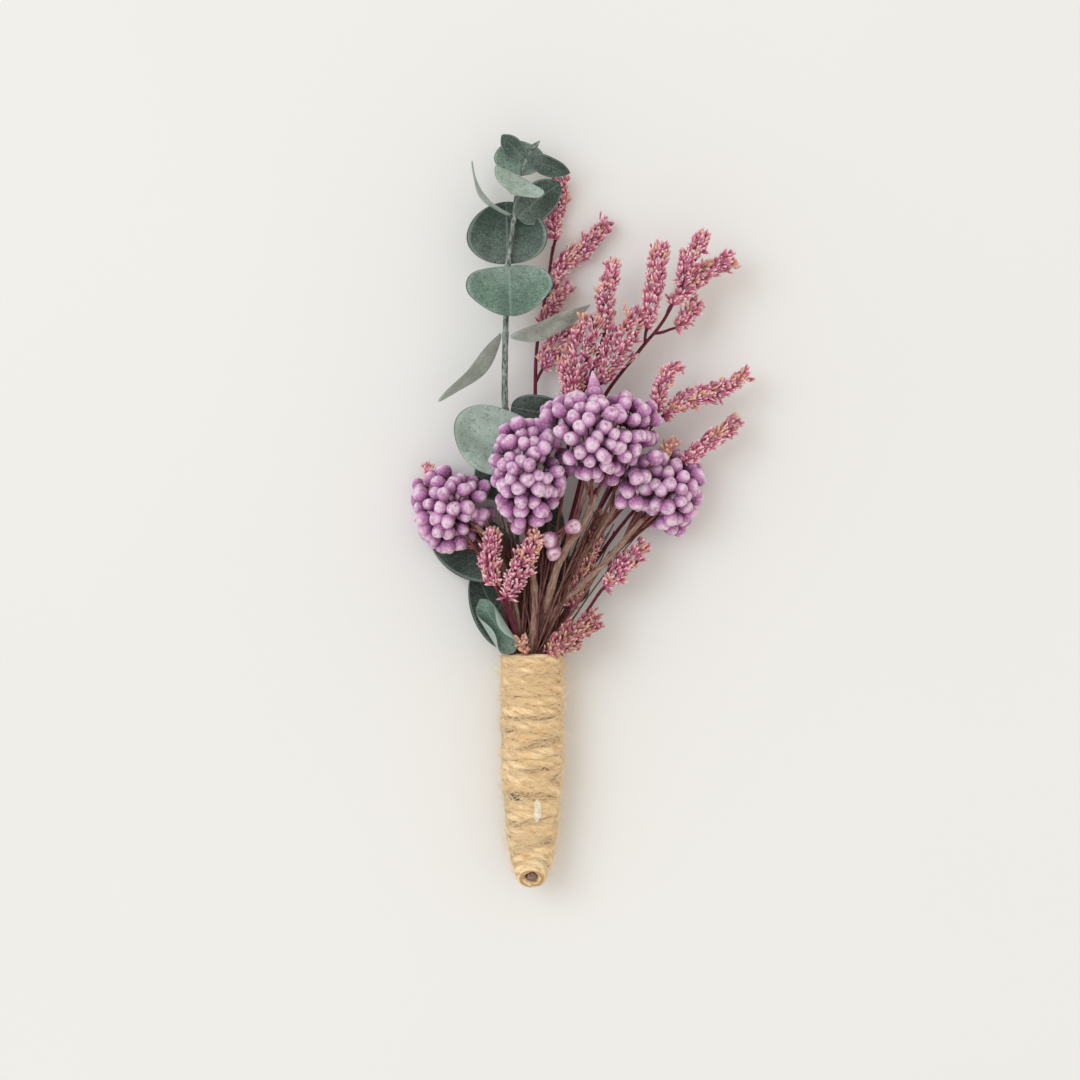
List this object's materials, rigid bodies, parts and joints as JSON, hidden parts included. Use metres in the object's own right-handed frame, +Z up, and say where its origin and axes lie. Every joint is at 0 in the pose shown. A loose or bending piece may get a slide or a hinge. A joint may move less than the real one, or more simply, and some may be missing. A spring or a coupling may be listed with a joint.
{
  "type": "bunch of dried flowers",
  "caption": "Small flat bunch of dried flowers, a eucalyptus sprig, lilac berry heads and pink sprays bound by a twine handle, lying on its back.",
  "frame": {"origin": "on the table, under the middle of the bunch's box", "axes": "+Y along the handle towards the flowers, +Z up from the table through the front of the bunch, +X to the right of someone who looks down on it with the flowers away from them"},
  "size_m": [0.0676, 0.1504, 0.0234],
  "materials": {
    "jute_twine": "dry, hairy three-ply jute",
    "sprig_stem": "grey-green bark with a pale bloom",
    "leaf_dark": "matte waxy leaf, dark green",
    "leaf_light": "matte waxy leaf with a grey bloom",
    "leaf_pale": "pale underside of the leaf, matte",
    "woody_stem": "brown, finely ribbed dry stem",
    "berry": "felted dry flower head, lilac",
    "spray_stem": "thin maroon stem, matte",
    "floret": "papery pink florets with cream tips",
    "floret_brown": "papery brownish rose florets"
  },
  "bodies": {
    "root": {"eucalyptus_bud": "leaf_dark", "eucalyptus_leaf_1_front": "leaf_light", "eucalyptus_leaf_1_left": "leaf_dark", "eucalyptus_leaf_2_left": "leaf_dark", "eucalyptus_leaf_2_right": "leaf_dark", "eucalyptus_leaf_3_left": "leaf_dark", "eucalyptus_leaf_3_right": "leaf_dark", "eucalyptus_leaf_4_back": "leaf_dark", "eucalyptus_leaf_4_front": "leaf_light", "eucalyptus_leaf_5_left": "leaf_pale", "eucalyptus_leaf_5_right": "leaf_pale", "eucalyptus_leaf_6_back": "leaf_dark", "eucalyptus_leaf_6_front": "leaf_light", "eucalyptus_leaf_7_left": "leaf_pale", "eucalyptus_leaf_7_right": "leaf_dark", "eucalyptus_leaf_8_back": "leaf_light", "eucalyptus_leaf_8_front": "leaf_pale", "eucalyptus_leaf_9_left": "leaf_dark", "eucalyptus_leaf_9_right": "leaf_dark", "eucalyptus_stem": "sprig_stem", "limonium_10_spray": "floret_brown", "limonium_1_arch": "floret", "limonium_1_low": "floret", "limonium_1_side": "floret", "limonium_1_stem": "spray_stem", "limonium_1_tip": "floret", "limonium_2_left": "floret", "limonium_2_low": "floret", "limonium_2_right": "floret", "limonium_2_stem": "spray_stem", "limonium_2_tip": "floret", "limonium_3_left": "floret", "limonium_3_right": "floret", "limonium_3_side": "floret", "limonium_3_stem": "spray_stem", "limonium_3_tip": "floret", "limonium_4_left": "floret", "limonium_4_right": "floret", "limonium_4_stem": "spray_stem", "limonium_5_stem": "spray_stem", "limonium_5_tip": "floret", "limonium_6_spray": "floret", "limonium_7_left": "floret", "limonium_7_right": "floret", "limonium_7_stem": "spray_stem", "limonium_8_stem": "spray_stem", "limonium_8_tip": "floret", "limonium_9_spray": "floret_brown", "rice_berries_low": "berry", "rice_head_left": "berry", "rice_head_middle_left": "berry", "rice_head_middle_right": "berry", "rice_head_right": "berry", "rice_head_top": "berry", "rice_stem_back": "woody_stem", "rice_stem_centre": "woody_stem", "rice_stem_left": "woody_stem", "rice_stem_main": "woody_stem", "rice_stem_right": "woody_stem", "twine_wrap": "jute_twine"}
  },
  "joints": []
}
